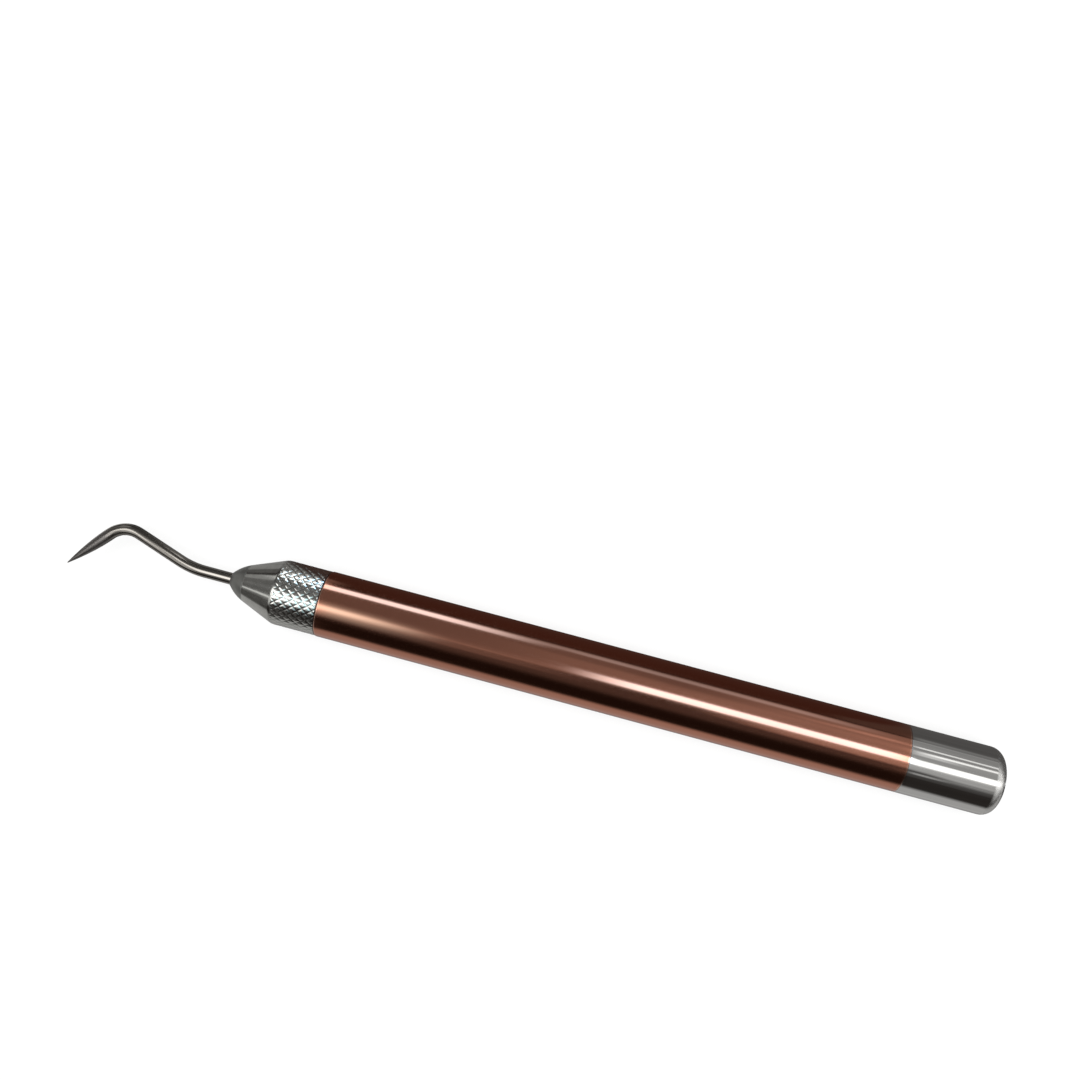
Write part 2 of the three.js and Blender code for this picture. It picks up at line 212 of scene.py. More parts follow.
def softened_corners(before, corner, after, radius, steps):
    """The points that round each corner off. The arc's centre lies on the half-angle line at radius /
    sin(half angle), and the arc runs between the two tangent points, its directions being the ends'
    mixed in the ratio sin((1 - share) sweep) to sin(share sweep). A support row close to each end of
    the arc keeps the flat beside it flat."""
    radius = radius[:, None]
    back, on = before - corner, after - corner
    back /= np.linalg.norm(back, axis=1, keepdims=True)
    on /= np.linalg.norm(on, axis=1, keepdims=True)
    half = np.arccos(np.clip((back * on).sum(1, keepdims=True), -1, 1)) / 2
    tangent = radius / np.tan(half)
    middle = back + on
    centre = corner + middle / np.linalg.norm(middle, axis=1, keepdims=True) * radius / np.sin(half)
    first = (corner + back * tangent - centre)[:, None]
    last = (corner + on * tangent - centre)[:, None]
    sweep = np.pi - 2 * half[:, :, None]
    share = np.linspace(0, 1, steps + 1)[None, :, None]
    arc = centre[:, None] + (
        np.sin((1 - share) * sweep) * first + np.sin(share * sweep) * last) / np.sin(sweep)
    support = 0.02
    start = (corner + back * (tangent + support))[:, None]
    end = (corner + on * (tangent + support))[:, None]
    return np.concatenate([start, arc, end], axis=1).reshape(-1, 2)


def with_rows(path, low, high, step):
    """The path with extra rows every step of X from low to high, taken along its running length."""
    run = np.concatenate([[0], np.cumsum(np.linalg.norm(np.diff(path, axis=0), axis=1))])
    order = path[:, 0] if path[-1, 0] > path[0, 0] else -path[:, 0]
    wanted = np.arange(low, high + step / 2, step)
    wanted = wanted if path[-1, 0] > path[0, 0] else -wanted
    rows = np.unique(np.round(np.concatenate([run, np.interp(wanted, order, run)]), 5))
    return np.stack([np.interp(rows, run, path[:, 0]), np.interp(rows, run, path[:, 1])], axis=1)


def around(rows, sides):
    """X, radius and angle of every point of an outline carried round the axis, as three grids."""
    angle = np.arange(sides) / sides * 2 * np.pi
    x, radius = (np.repeat(rows[:, i:i + 1], sides, axis=1) for i in (0, 1))
    return x, radius, np.broadcast_to(angle, x.shape)


def turned(x, radius, angle):
    """Points (x, r cos a, r sin a) of a surface turned about the axis."""
    return np.stack([x, radius * np.cos(angle), radius * np.sin(angle)], axis=-1)


def zigzag(turns):
    """0 at whole turns and 1 half way between them, in straight lines."""
    return 1 - np.abs(2 * (turns % 1) - 1)


def thread_radius(x, angle, root, depth, pitch):
    """Radius of a right-hand V thread: the root plus a zigzag of x / pitch - angle / turn, with its
    crests and roots cut flat."""
    flat = 0.12
    wave = zigzag(x / pitch - angle / (2 * np.pi))
    return root + depth * np.clip((wave - flat) / (1 - 2 * flat), 0, 1)


def knurl_radius(x, angle, crest, depth, pitch, starts, origin):
    """Radius of a diamond knurl: two zigzags run round it as left-hand and right-hand helices, and the
    lower of the two is the height. Walls rise evenly from the grooves to half the height, and the
    diamonds between them are left slightly domed."""
    doming = 0.006
    along, turn = (x - origin) / pitch, angle * starts / (2 * np.pi)
    height = np.minimum(zigzag(turn + along), zigzag(turn - along))
    wall = np.clip(2 * height, 0, 1)
    return crest - depth * (1 - wall) - doming * (1 - np.maximum(height, 1 / 2))


def quarter_round(distance, radius):
    """How high a quarter circle stands this far in from its edge: the square root of distance times
    (2 radius - distance), and beyond the quarter circle its radius."""
    near = np.minimum(distance, radius)
    return np.sqrt(near * (2 * radius - near))


def skin(name, points, closed=False, attributes=()):
    """A mesh of a grid of points in millimetres about the axis. Each row is a ring, joined to the next
    row, and to the first after the last where closed. Rings of no size close as poles."""
    rows, cols = points.shape[:2]
    place = points.reshape(-1, 3) + np.array([0, 0, AXIS_HEIGHT])
    i, j = np.meshgrid(np.arange(rows if closed else rows - 1), np.arange(cols), indexing="ij")
    below, right = (i + 1) % rows, (j + 1) % cols
    quads = np.stack(
        [i * cols + j, i * cols + right, below * cols + right, below * cols + j], axis=-1)
    mesh = bpy.data.meshes.new(name)
    mesh.from_pydata((place / 1000).tolist(), [], quads.reshape(-1, 4).tolist())
    for title, values in attributes:
        layer = mesh.attributes.new(title, "FLOAT_VECTOR", "POINT")
        layer.data.foreach_set("vector", values.reshape(-1).astype(np.float32))
    return cleaned(mesh)


def cleaned(mesh):
    """Merges doubled points, closes poles, turns the faces outwards and smooths all but sharp edges."""
    same_point, no_length = 1e-6, 1e-7
    work = bmesh.new()
    work.from_mesh(mesh)
    bmesh.ops.remove_doubles(work, verts=work.verts, dist=same_point)
    bmesh.ops.dissolve_degenerate(work, edges=work.edges, dist=no_length)
    bmesh.ops.recalc_face_normals(work, faces=work.faces)
    work.to_mesh(mesh)
    work.free()
    mesh.polygons.foreach_set("use_smooth", np.ones(len(mesh.polygons), bool))
    mesh.set_sharp_from_angle(angle=SHARP_ABOVE)
    mesh.update()
    return mesh


def joined(name, meshes):
    """One mesh of several."""
    work = bmesh.new()
    for mesh in meshes:
        work.from_mesh(mesh)
        bpy.data.meshes.remove(mesh)
    whole = bpy.data.meshes.new(name)
    work.to_mesh(whole)
    work.free()
    whole.set_sharp_from_angle(angle=SHARP_ABOVE)
    return whole


def place_piece(name, mesh, material, node):
    """Shows a mesh in place of a CAD node, riding on that node's body."""
    piece = bpy.data.objects.new(name, mesh)
    bpy.context.scene.collection.objects.link(piece)
    mesh.materials.append(material)
    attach(piece, frame["nodes"][node]["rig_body"])
    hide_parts(node)
    return piece


# Finishes

# Kinds of shader node, each with its settings
COORDINATES = ("ShaderNodeTexCoord", {})
MAPPING = ("ShaderNodeMapping", {})
SEPARATE = ("ShaderNodeSeparateXYZ", {})
COMBINE = ("ShaderNodeCombineXYZ", {})
SCALE = ("ShaderNodeVectorMath", {"operation": "MULTIPLY"})
DISTANCE = ("ShaderNodeVectorMath", {"operation": "LENGTH"})
NOISE = ("ShaderNodeTexNoise", {})
SUM = ("ShaderNodeMath", {"operation": "ADD"})
DIFFERENCE = ("ShaderNodeMath", {"operation": "SUBTRACT"})
PRODUCT = ("ShaderNodeMath", {"operation": "MULTIPLY"})
PRODUCT_PLUS = ("ShaderNodeMath", {"operation": "MULTIPLY_ADD"})
LOWER = ("ShaderNodeMath", {"operation": "MINIMUM"})
HIGHER = ("ShaderNodeMath", {"operation": "MAXIMUM"})
ABSOLUTE = ("ShaderNodeMath", {"operation": "ABSOLUTE"})
MIX_COLOURS = ("ShaderNodeMix", {"data_type": "RGBA"})
MIX_SHADERS = ("ShaderNodeMixShader", {})
BUMP = ("ShaderNodeBump", {})
SHADER = ("ShaderNodeBsdfPrincipled", {})
EMISSION = ("ShaderNodeEmission", {})
BACKGROUND = ("ShaderNodeBackground", {})
RAYS = ("ShaderNodeLightPath", {})
OUTPUT = ("ShaderNodeOutputMaterial", {})
WORLD_OUTPUT = ("ShaderNodeOutputWorld", {})
# This one is filled by a pattern, where the step starts and stops, and what it gives there.
SMOOTH_STEP = ("ShaderNodeMapRange", {"interpolation_type": "SMOOTHSTEP"})


def add(tree, kind, *in_order, **named):
    """Adds a node, whose kind is its type and its settings. Values fill the sockets that it then has in
    use, in their order or by name. A value that is a node links from its first output in use."""
    node = tree.nodes.new(kind[0])
    for setting, value in kind[1].items():
        setattr(node, setting, value)
    sockets = [socket for socket in node.inputs if socket.enabled]
    by_name = {socket.name.replace(" ", "_"): socket for socket in sockets}
    filled = [*zip(sockets, in_order), *((by_name[name], value) for name, value in named.items())]
    for socket, value in filled:
        if isinstance(value, bpy.types.Node):
            value = next(output for output in value.outputs if output.enabled)
        if isinstance(value, bpy.types.NodeSocket):
            tree.links.new(value, socket)
        else:
            socket.default_value = value
    return node


def new_material(name):
    """An empty material and its node tree."""
    material = bpy.data.materials.new(name)
    material.use_nodes = True
    material.node_tree.nodes.clear()
    return material, material.node_tree


def surface(tree, relief, strength, micrometres, **sockets):
    """Ends a material in its shader, on which a pattern stands in relief by this many micrometres."""
    bump = add(tree, BUMP, Strength=strength, Distance=micrometres / 1e6, Height=relief)
    add(tree, OUTPUT, add(tree, SHADER, Normal=bump, **sockets))


def chosen(name):
    """The colour that the user has chosen for a finish, opaque."""
    return (*getattr(bpy.context.scene.weeder_finishes, name), 1)


def opaque(code):
    """The opaque linear colour of an sRGB hex value."""
    return (*linear(code), 1)


def shaded(base, share):
    """A colour made darker, or lighter where share is over 1."""
    return (*(channel * share for channel in base[:3]), 1)


def shades(tree, pattern, base, dark, light, low=0.3, high=0.7):
    """The base colour times dark where the pattern is low, and times light where it is high."""
    share = add(tree, SMOOTH_STEP, pattern, low, high)
    return add(tree, MIX_COLOURS, share, shaded(base, dark), shaded(base, light))


def place(tree):
    """The point on the piece, in millimetres about the tool's axis."""
    coords = add(tree, COORDINATES).outputs["Object"]
    return add(tree, MAPPING, Vector=coords, Location=(0, 0, -AXIS_HEIGHT), Scale=(1000, 1000, 1000))


def grain(tree, vector, per_mm, detail=2.0):
    """A cloudy pattern from 0 to 1 whose grain along X, Y and Z is 1 / per_mm millimetres."""
    return add(tree, NOISE, Vector=add(tree, SCALE, vector, per_mm), Scale=1.0, Detail=detail)


def anodised_aluminium():
    """Drawn aluminium tube, bright-dipped and anodised copper brown. The dyed layer is clear like
    varnish, so lights stay sharp in it and take its colour; the drawing leaves faint lines along it,
    and the layer wears lighter at the tube's ends."""
    base = chosen("copper")
    material, tree = new_material("copper_anodised_aluminium")
    vector = place(tree)
    lines = grain(tree, vector, (0.012, 2.2, 2.2), 3.0)
    clouds = grain(tree, vector, (0.03, 0.15, 0.15))
    body = shades(tree, clouds, base, 0.95, 1.04, 0.35, 0.65)
    middle, reach = (FRONT_FACE + REAR_FACE) / 2, (REAR_FACE - FRONT_FACE) / 2
    wear_starts, wear_is_full = 0.34, 0.12
    x = add(tree, SEPARATE, vector).outputs["X"]
    off_middle = add(tree, ABSOLUTE, add(tree, DIFFERENCE, x, middle))
    near_end = add(tree, SMOOTH_STEP, off_middle, reach - wear_starts, reach - wear_is_full)
    patches = add(tree, SMOOTH_STEP, grain(tree, vector, (0.5, 0.9, 0.9)), 0.4, 0.6, 0.4, 0.9)
    worn = add(tree, PRODUCT, near_end, patches)
    surface(tree, lines, 0.25, 2, Metallic=1.0, Coat_Weight=0.2, Coat_Roughness=0.06, Coat_IOR=1.6,
            Base_Color=add(tree, MIX_COLOURS, worn, body, opaque("D9B4A0")),
            Roughness=add(tree, SMOOTH_STEP, lines, 0.3, 0.7, 0.12, 0.17))
    return material


def turned_aluminium():
    """Aluminium turned on a lathe: fine rings round the cone, a duller rounded end where a form tool
    cut it, and a knurl whose peaks are burnished by the wheel, with painted shade in its grooves."""
    base = chosen("nose")
    crest, depth = sizes()["nose_diameter"] / 2, sizes()["knurl_depth"]
    knurl_end, knurl_fade, dome_fade = 7.4, 0.6, 0.25
    # How far the colour goes towards a third of the base: painted shade in the knurl's grooves, and the
    # duller finish of the rounded end.
    painted_groove_shade, dome_dulling = 0.4, 0.66
    material, tree = new_material("turned_aluminium")
    vector = place(tree)
    x, y, z = add(tree, SEPARATE, vector).outputs
    # Tool marks are 0.05 mm apart on the real cone; 0.14 mm is as fine as shows here.
    rings = grain(tree, vector, (7.0, 0.04, 0.04), 1.0)
    radius = add(tree, DISTANCE, add(tree, COMBINE, Y=y, Z=z))
    on_knurl = add(tree, SMOOTH_STEP, x, ahead(knurl_end + knurl_fade), ahead(knurl_end))
    low = add(tree, SMOOTH_STEP, radius, crest - 0.95 * depth, crest - 0.55 * depth, 1.0, 0.0)
    # Mask of the knurl's grooves, where painted shade darkens the colour.
    groove_shade_mask = add(tree, PRODUCT, on_knurl, low)
    grime = grain(tree, vector, (1.1, 1.1, 1.1), 3.0)
    metal = shades(tree, grime, base, 0.93, 1.05)
    on_dome = add(tree, SMOOTH_STEP, x, ahead(DOME_START), ahead(DOME_START - dome_fade), 1.0, 0.0)
    # Painted shade darkens the knurl's grooves, as if shade fell in them; the rounded end is darkened
    # for its duller finish.
    dome_dull_groove_shade = add(tree, HIGHER, add(tree, PRODUCT, groove_shade_mask, painted_groove_shade),
                 add(tree, PRODUCT, on_dome, dome_dulling))
    rough = add(tree, SMOOTH_STEP, rings, 0.3, 0.7, 0.1, 0.15)
    rough = add(tree, PRODUCT_PLUS, on_dome, 0.26, rough)
    surface(tree, rings, 0.3, 2, Metallic=1.0,
            Base_Color=add(tree, MIX_COLOURS, dome_dull_groove_shade, metal, shaded(base, 0.34)),
            Roughness=add(tree, PRODUCT_PLUS, on_knurl, 0.04, rough))
    return material


def polished_aluminium():
    """Aluminium polished along its length: mirror bright with fine lengthwise lines, and a softer,
    cross-polished rounded edge and end face."""
    base = chosen("cap")
    edge = behind(CAP_LENGTH - sizes()["cap_rounding"])
    material, tree = new_material("polished_aluminium")
    vector = place(tree)
    lines = grain(tree, vector, (0.02, 3.2, 3.2), 3.0)
    x = add(tree, SEPARATE, vector).outputs["X"]
    on_edge = add(tree, SMOOTH_STEP, x, edge - 0.05, edge + 0.25)
    rough = add(tree, SMOOTH_STEP, lines, 0.3, 0.7, 0.05, 0.1)
    surface(tree, lines, 0.6, 9, Metallic=1.0,
            Base_Color=shades(tree, lines, base, 0.94, 1.03),
            Roughness=add(tree, PRODUCT_PLUS, on_edge, 0.2, rough))
    return material


def drawn_steel_wire():
    """Hardened steel wire, drawn and polished: faint lines along it, warm grey, darker and duller
    towards the ground point. It reads the straight wire's own coordinates, in millimetres from the
    point."""
    base = chosen("pick")
    grinding_starts, grinding_is_full = -10.5, -7.0
    material, tree = new_material("drawn_steel_wire")
    own_place = ("ShaderNodeAttribute", {"attribute_name": "wire_place"})
    vector = add(tree, own_place).outputs["Vector"]
    run = add(tree, SEPARATE, vector).outputs["X"]
    lines = grain(tree, vector, (0.05, 5.0, 5.0), 3.0)
    to_point = add(tree, SMOOTH_STEP, run, grinding_starts, grinding_is_full)
    warm = shades(tree, lines, base, 0.9, 1.05)
    darkened = add(tree, PRODUCT, to_point, 0.7)
    rough = add(tree, SMOOTH_STEP, lines, 0.3, 0.7, 0.12, 0.18)
    surface(tree, lines, 0.4, 3, Metallic=1.0,
            Base_Color=add(tree, MIX_COLOURS, darkened, warm, opaque("726F6E")),
            Roughness=add(tree, PRODUCT_PLUS, to_point, 0.25, rough))
    return material


def turned_rings(name, colour_name, grain_per_mm, low, high):
    """A turned metal, such as the brass of the inserts and the spring steel of the collet: satin
    bright, with the rings that the lathe leaves round its axis and faint stains."""
    material, tree = new_material(name)
    vector = place(tree)
    rings = grain(tree, vector, (grain_per_mm, 0.05, 0.05))
    stain = grain(tree, vector, (0.4, 0.4, 0.4), 3.0)
    surface(tree, rings, 0.4, 5, Metallic=1.0,
            Base_Color=shades(tree, stain, chosen(colour_name), 0.86, 1.03),
            Roughness=add(tree, SMOOTH_STEP, rings, 0.3, 0.7, low, high))
    return material


def moulded_rubber():
    """Nitrile rubber moulded in a matt tool: near black, softly shining, with a fine even grain."""
    base = chosen("rubber")
    material, tree = new_material("moulded_rubber")
    pores = grain(tree, place(tree), (9.0, 9.0, 9.0))
    surface(tree, pores, 0.4, 10, Metallic=0.0, IOR=1.52,
            Base_Color=add(tree, MIX_COLOURS, pores, shaded(base, 0.8), shaded(base, 1.4)),
            Roughness=add(tree, SMOOTH_STEP, pores, 0.3, 0.7, 0.5, 0.68))
    return material


# Pieces


def barrel_tube(size):
    """The barrel: the wall's section, a rectangle with rounded corners, turned about the axis."""
    outer, edge = size["barrel_diameter"] / 2, size["edge_rounding"]
    bore = outer - size["barrel_wall"]
    section = softened(
        [[ahead(0), bore], [ahead(0), outer], [behind(0), outer], [behind(0), bore]],
        [edge / 2, 1.8 * edge, edge / 3, 0.4 * edge], closed=True)
    return skin("barrel", turned(*around(section, SIDES)), closed=True)


class WEEDER_OT_barrel(bpy.types.Operator):
    """Adds the barrel: a plain tube with rounded edges"""

    bl_idname = "weeder.barrel"
    bl_label = "Add barrel"

    def execute(self, context):
        place_piece("barrel", barrel_tube(sizes()), anodised_aluminium(), "barrel_tube")
        return {"FINISHED"}


def nose_outline(size):
    """The nose's outside from its rear face to the rim: knurled length, rounded shoulder, taper, and a
    dome that meets the taper smoothly and ends on the rim. The dome is the rounding of the corner
    where the taper meets the dome's tangent at the rim."""
    crest, edge = size["nose_diameter"] / 2, size["edge_rounding"]
    corner, rim = np.array([SHOULDER_START, crest]), np.array([NOSE_LENGTH, RIM_RADIUS])
    along = np.array([np.cos(TAPER_ANGLE), -np.sin(TAPER_ANGLE)])
    outward = np.array([np.sin(TAPER_ANGLE), np.cos(TAPER_ANGLE)])
    reach = rim - corner
    drop = -reach @ outward
    taper_run = reach @ along - np.sqrt(drop * (2 * DOME_RADIUS - drop))
    centre = corner + along * taper_run - outward * DOME_RADIUS
    sweep = np.arccos((rim - centre) @ outward / DOME_RADIUS)
    meeting = corner + along * (taper_run + DOME_RADIUS * np.tan(sweep / 2))
    lip = 0.07
    points = [[SEAM_GAP, crest - 4 * edge], [SEAM_GAP, crest], corner, meeting, rim,
              [rim[0], RIM_RADIUS - lip]]
    path = softened(points, [0, edge, SHOULDER_RADIUS, DOME_RADIUS, 0.02, 0], steps=24)
    return np.stack([FRONT_FACE - path[:, 0], path[:, 1]], axis=1)


def nose_nut(size):
    """The nose: its outside and its cavity as one closed outline, turned about the axis. Outside, the
    radius is the lower of the outline's and the knurl's. On the thread it is the higher of the
    thread's and that of a mouth that opens at 45 degrees."""
    pitch, depth = size["thread_pitch"], size["thread_depth"]
    crest, starts = size["nose_diameter"] / 2, size["knurl_starts"]
    knurl_pitch, knurl_depth = size["knurl_pitch"], size["knurl_depth"]
    sides = ROWS_PER_PITCH * starts
    knurl_end = SHOULDER_START + knurl_depth / np.tan(TAPER_ANGLE) + knurl_pitch / 2
    knurl_step, taper_step = knurl_pitch / ROWS_PER_PITCH, 0.5
    outer = with_rows(nose_outline(size), ahead(knurl_end), ahead(SEAM_GAP), knurl_step)
    outer = with_rows(outer, ahead(DOME_START), ahead(knurl_end), taper_step)
    x, radius, angle = around(outer, sides)
    knurl = knurl_radius(x, angle, crest, knurl_depth, knurl_pitch, starts, ahead(knurl_end))
    outside = turned(x, np.minimum(radius, knurl), angle)

    wire = size["wire_diameter"] / 2
    root, cone, thread_end = NOSE_THREAD_RADIUS + LOOSE_GAP, wire + 4 * LOOSE_GAP, NOSE_THREAD_LENGTH
    cavity = softened(
        [[ahead(NOSE_LENGTH), wire + SLIDING_GAP], [ahead(CONE_FRONT), wire + SLIDING_GAP],
         [ahead(CONE_FRONT), cone], [ahead(CONE_REAR), cone + (CONE_FRONT - CONE_REAR) * CONE_SLOPE],
         [ahead(CONE_REAR), root], [ahead(thread_end), root], [ahead(thread_end), root - depth],
         [ahead(SEAM_GAP), root - depth]],
        [0, 0.03, 0.03, 0.03, 0.03, 0.03, 0.02, 0], steps=3)
    cavity = with_rows(cavity, ahead(thread_end), ahead(SEAM_GAP), pitch / ROWS_PER_PITCH)
    x, radius, angle = around(cavity, sides)
    thread = thread_radius(x, angle, root - depth, depth, pitch)
    mouth = root - np.clip(ahead(0) - x, 0, depth)
    radius = np.where(x > ahead(thread_end) + 1e-6, np.maximum(thread, mouth), radius)
    return skin("nose", np.concatenate([outside, turned(x, radius, angle)]), closed=True)


class WEEDER_OT_nose(bpy.types.Operator):
    """Adds the knurled nose nut, with its threaded inside and its inner cone"""

    bl_idname = "weeder.nose"
    bl_label = "Add nose"

    def execute(self, context):
        place_piece("nose", nose_nut(sizes()), turned_aluminium(), "chuck_nut")
        return {"FINISHED"}


def wire_path(step=0.1):
    """The pick's centre line from its rear end to its point. Its heading is a straight-line function of
    the running length in each bend and constant between bends, and the line is the running sum of
    the heading's cosine, ahead of the barrel's front face, and of its sine, to the side."""
    first_tangent = FIRST_BEND_RADIUS * np.tan(FIRST_BEND_ANGLE / 2)
    crest_tangent = CREST_RADIUS * np.tan(CREST_ANGLE / 2)
    legs = [SHANK_DEPTH + FIRST_BEND_AHEAD - first_tangent, FIRST_BEND_RADIUS * FIRST_BEND_ANGLE,
            CREST_RUN - first_tangent - crest_tangent, CREST_RADIUS * CREST_ANGLE,
            POINT_RUN - crest_tangent]
    ends = np.cumsum([0, *legs])
    headings = [0, 0, *[FIRST_BEND_ANGLE] * 2, *[FIRST_BEND_ANGLE - CREST_ANGLE] * 2]
    run = np.unique(np.round(np.concatenate([np.arange(0, ends[-1], step), ends]), 6))
    heading = np.interp(run, ends, headings)
    middle = (heading[1:] + heading[:-1]) / 2
    forward = np.concatenate([[0], np.cumsum(np.cos(middle) * np.diff(run))]) - SHANK_DEPTH
    side = np.concatenate([[0], np.cumsum(np.sin(middle) * np.diff(run))])
    return run, forward, side, heading


def pick_wire(size):
    """The pick: rings carried along the centre line, each square to the heading. Their radius is the
    wire's, less what is ground off the point, which is a power of how far into the point they are.
    Quarter circles round off the rear edge and the tip."""
    wire, rear_edge = size["wire_diameter"] / 2, size["edge_rounding"]
    run, forward, side, heading = wire_path()
    from_tip = run[-1] - run
    ground = np.clip(1 - from_tip / size["point_length"], 0, 1) ** POINT_CURVE
    radius = np.minimum(wire - (wire - POINT_RADIUS) * ground,
                        wire - rear_edge + quarter_round(run, rear_edge))
    radius = np.where(from_tip > POINT_RADIUS, radius, quarter_round(from_tip, POINT_RADIUS))
    # The rear face closes on the axis.
    run, forward, side, heading, radius = (
        np.concatenate([values[:1], values]) for values in (run, forward, side, heading, radius))
    radius[0] = 0
    turn = np.arange(WIRE_SIDES) / WIRE_SIDES * 2 * np.pi
    across, height = radius[:, None] * np.cos(turn), radius[:, None] * np.sin(turn)
    points = np.stack([
        ahead(forward[:, None]) + across * np.sin(heading)[:, None],
        side[:, None] + across * np.cos(heading)[:, None], height], axis=-1)
    straight = np.stack([
        np.broadcast_to((run - run[-1])[:, None], across.shape), across, height], axis=-1)
    return skin("pick", points, attributes=[("wire_place", straight)])


class WEEDER_OT_pick(bpy.types.Operator):
    """Adds the pick: round wire bent twice and ground to a point"""

    bl_idname = "weeder.pick"
    bl_label = "Add pick"

    def execute(self, context):
        place_piece("pick", pick_wire(sizes()), drawn_steel_wire(), "pick")
        return {"FINISHED"}


def screw_cap(size):
    """The cap: one outline from the spigot's end over its thread, land and seal groove to the middle of
    the end face, turned about the axis. On the thread the radius is the lower of the two."""
    outer, edge = size["barrel_diameter"] / 2, size["edge_rounding"]
    bore = outer - size["barrel_wall"]
    pitch, depth = size["thread_pitch"], size["thread_depth"]
    crest, root = CAP_THREAD_RADIUS, CAP_THREAD_RADIUS - depth
    neck = root - SLIDING_GAP
    land, groove = bore - LOOSE_GAP, bore - SEAL_DEPTH - LOOSE_GAP
    groove_end = SEAL_START + 2 * SEAL_RADIUS + 2 * LOOSE_GAP
    thread_start, seam = LAND_LENGTH + THREAD_RELIEF / 2, 0.02
    path = softened(
        [[behind(-SPIGOT_LENGTH), 0], [behind(-SPIGOT_LENGTH), root],
         [behind(depth - SPIGOT_LENGTH), crest], [behind(-thread_start), crest],
         [behind(-thread_start), neck], [behind(-LAND_LENGTH), neck], [behind(-LAND_LENGTH), land],
         [behind(-groove_end), land], [behind(-groove_end), groove], [behind(-SEAL_START), groove],
         [behind(-SEAL_START), land], [behind(seam), land], [behind(seam), outer],
         [behind(CAP_LENGTH), outer], [behind(CAP_LENGTH), 0]],
        [0, 0.04, 0.04, 0.02, 0.04, 0.04, 0.1, 0.06, 0.06, 0.06, 0.06, 0.04, edge / 3,
         size["cap_rounding"], 0], steps=12)
    path = with_rows(path, behind(-SPIGOT_LENGTH), behind(-thread_start), pitch / ROWS_PER_PITCH)
    x, radius, angle = around(path, SIDES)
    thread = thread_radius(x, angle, root, depth, pitch)
    radius = np.where(x < behind(-LAND_LENGTH - 0.1), np.minimum(radius, thread), radius)
    return skin("cap", turned(x, radius, angle))


class WEEDER_OT_cap(bpy.types.Operator):
    """Adds the screw cap with its rounded edge, seal groove and threaded spigot"""

    bl_idname = "weeder.cap"
    bl_label = "Add cap"

    def execute(self, context):
        place_piece("cap", screw_cap(sizes()), polished_aluminium(), "tail_cap")
        return {"FINISHED"}


def chuck_insert(size):
    """The insert in the barrel's front end: a threaded stub, a relief, and a pressed-in body with the
    collet's bore, as one closed outline turned about the axis. On the thread the radius is the lower
    of the outline's and the thread's."""
    pitch, depth = size["thread_pitch"], size["thread_depth"]
    seat = size["barrel_diameter"] / 2 - size["barrel_wall"] - PRESS_GAP
    crest, root = NOSE_THREAD_RADIUS, NOSE_THREAD_RADIUS - depth
    bore, floor = COLLET_TAIL_RADIUS + SLIDING_GAP, COLLET_TAIL_DEPTH + SEAT_GAP
    neck, through = root - SLIDING_GAP, size["wire_diameter"] / 2 + 2 * LOOSE_GAP
    path = softened(
        [[ahead(STUB_LENGTH), root], [ahead(STUB_LENGTH - depth), crest],
         [ahead(THREAD_RELIEF), crest], [ahead(THREAD_RELIEF), neck], [ahead(-INSERT_RECESS), neck],
         [ahead(-INSERT_RECESS), seat], [ahead(-INSERT_DEPTH), seat],
         [ahead(-INSERT_DEPTH), through], [ahead(-floor), through],
         [ahead(-floor), bore], [ahead(STUB_LENGTH), bore]],
        [0.04, 0.04, 0.02, 0.04, 0.04, 0.1, 0.15, 0.1, 0.03, 0.03, 0.08], steps=4, closed=True)
    # The outline runs towards the tail outside, up to its furthest point, and back inside.
    turn_back = int(np.argmax(path[:, 0])) + 1
    outside = with_rows(
        path[:turn_back], ahead(STUB_LENGTH), ahead(THREAD_RELIEF), pitch / ROWS_PER_PITCH)
    x, radius, angle = around(outside, THREAD_SIDES)
    thread = thread_radius(x, angle, root, depth, pitch)
    radius = np.where(x < ahead(THREAD_RELIEF / 2), np.minimum(radius, thread), radius)
    inside = turned(*around(path[turn_back:], THREAD_SIDES))
    return skin("chuck_insert", np.concatenate([turned(x, radius, angle), inside]), closed=True)


def tail_insert(size):
    """The threaded insert in the barrel's tail end: a plain outside and a threaded inside as one closed
    outline turned about the axis. The thread opens in a 45 degree mouth."""
    pitch, depth = size["thread_pitch"], size["thread_depth"]
    seat = size["barrel_diameter"] / 2 - size["barrel_wall"] - PRESS_GAP
    root = CAP_THREAD_RADIUS + LOOSE_GAP
    rear = -LAND_LENGTH - LOOSE_GAP
    front = rear - BUSH_LENGTH
    outside = softened(
        [[behind(front), root], [behind(front), seat], [behind(rear), seat],
         [behind(rear), root + 0.02]], [0, 0.15, 0.15, 0], steps=4)
    inside = np.array([[behind(rear), root - depth], [behind(front), root - depth]])
    inside = with_rows(inside, behind(front), behind(rear), pitch / ROWS_PER_PITCH)
    x, radius, angle = around(inside, THREAD_SIDES)
    thread = thread_radius(x, angle, root - depth, depth, pitch)
    mouth = root - np.clip(behind(rear) - x, 0, depth)
    points = np.concatenate([
        turned(*around(outside, THREAD_SIDES)), turned(x, np.maximum(thread, mouth), angle)])
    return skin("tail_insert", points, closed=True)


